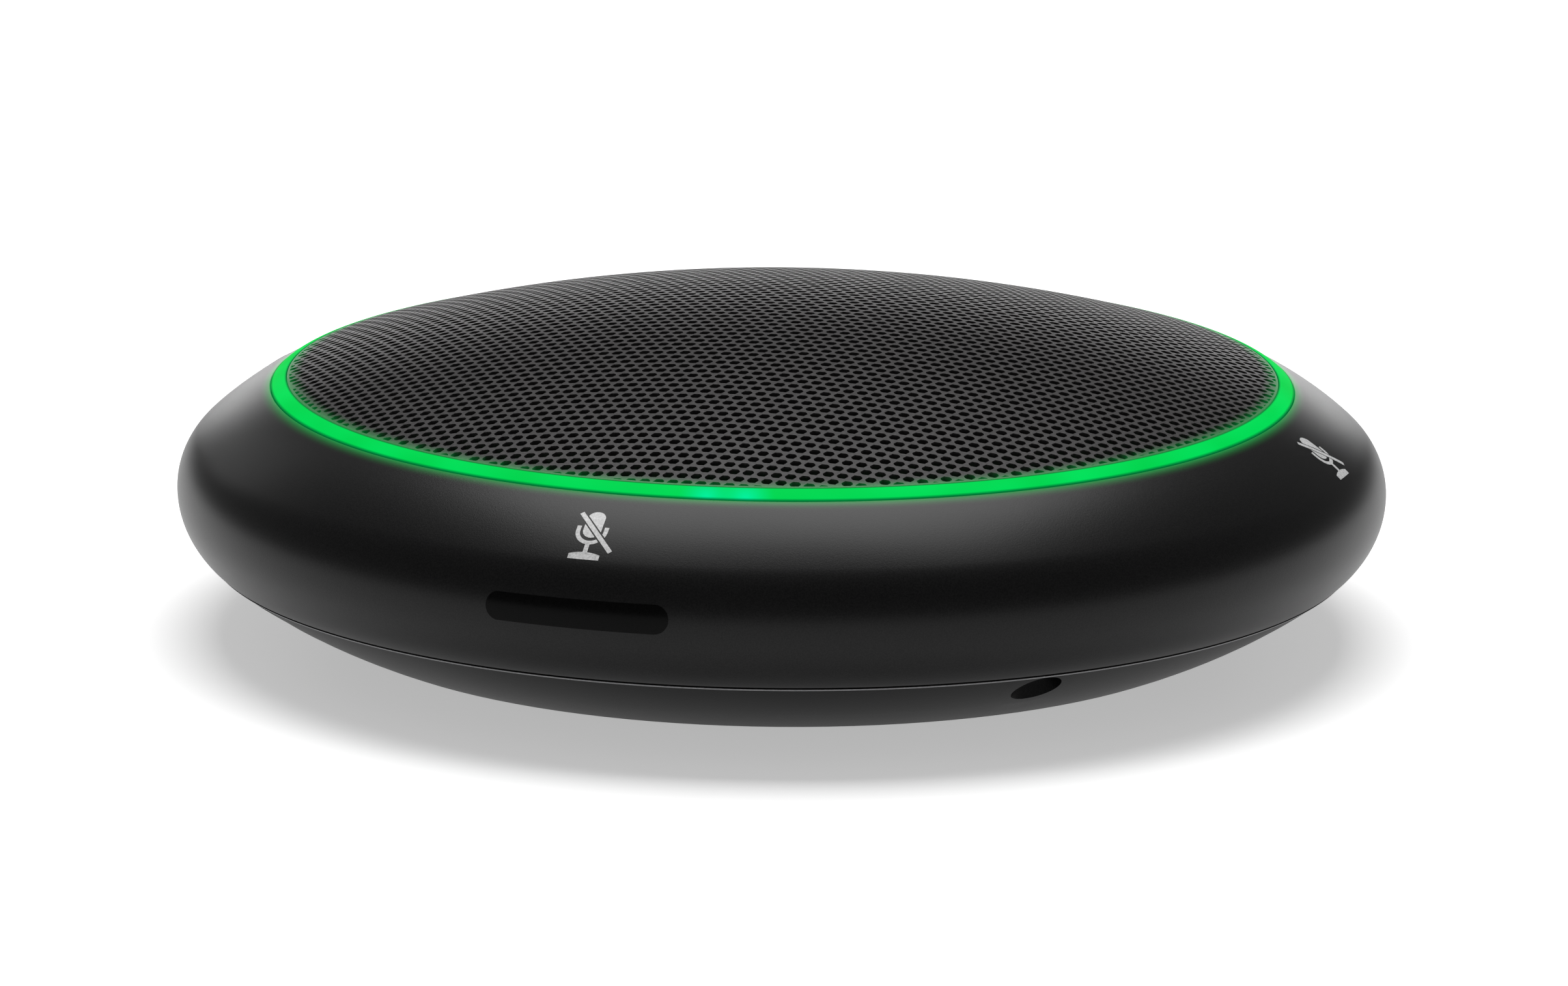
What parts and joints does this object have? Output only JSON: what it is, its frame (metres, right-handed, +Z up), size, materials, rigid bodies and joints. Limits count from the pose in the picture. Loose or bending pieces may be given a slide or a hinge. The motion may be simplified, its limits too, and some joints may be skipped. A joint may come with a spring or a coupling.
{
  "type": "conference table microphone",
  "caption": "Low round conference room microphone unit with a domed perforated grille, a light ring, touch mute marks and a network socket in its base.",
  "frame": {"origin": "centre of the circle on the table that the foot ring stands on", "axes": "+Z up, front with the badge at -Y, cable leaves at the back at +Y, +X to the right seen from the front"},
  "size_m": [0.134, 0.134, 0.036],
  "materials": {
    "cover_plastic": "fine texture",
    "housing_plastic": "soft touch, fine texture",
    "badge_gloss": "polished",
    "foot_rubber": "matte",
    "grille_paint": "powder coat",
    "ring_green": "translucent, lit",
    "foam": "open-cell foam",
    "inner_plastic": "moulded",
    "boot_rubber": "matte",
    "board": "solder mask",
    "chip": "moulded",
    "light": "clear",
    "steel": "plated",
    "screw_steel": "black zinc",
    "cast_ballast": "as cast",
    "brass_turned": "turned",
    "contact_gold": "plated",
    "socket_plastic": "moulded",
    "button_plastic": "moulded",
    "foil": "foil",
    "copper_wound": "ferrite",
    "can_metal": "sleeve",
    "label_paper": "blank label",
    "pad_soft": "soft"
  },
  "bodies": {
    "housing": {"foot_ring": "foot_rubber", "lower_cover": "cover_plastic", "mount_inserts": "brass_turned", "ballast_ring": "cast_ballast", "rating_label": "label_paper", "reset_switch": "steel", "upper_housing": "housing_plastic", "badge": "badge_gloss", "case_screws": "screw_steel", "touch_pads": "foil", "light_ring": "ring_green", "grille": "grille_paint", "acoustic_foam": "foam", "mic_carrier": "inner_plastic", "mic_boots": "boot_rubber", "mic_capsules": "can_metal", "mic_board": "board", "ring_leds": "light", "carrier_screws": "steel", "main_board": "board", "board_standoffs": "brass_turned", "socket_body": "socket_plastic", "socket_shield": "steel", "socket_contacts": "contact_gold", "network_magnetics": "chip", "power_transformer": "copper_wound", "power_inductors": "copper_wound", "capacitors": "can_metal", "processor": "chip", "thermal_pad": "pad_soft", "shield_can": "steel", "memory_chips": "chip", "board_plug": "socket_plastic", "board_socket": "socket_plastic", "audio_chips": "chip"},
    "reset": {"reset_button": "button_plastic", "switch_plunger": "chip"}
  },
  "joints": [
    {"name": "reset_press", "type": "slide", "parent": "housing", "child": "reset", "axis": [0, 0, 1], "range_m": [0, 0.00025], "stiffness_N_per_m": 800, "springref_m": -0.0005}
  ]
}
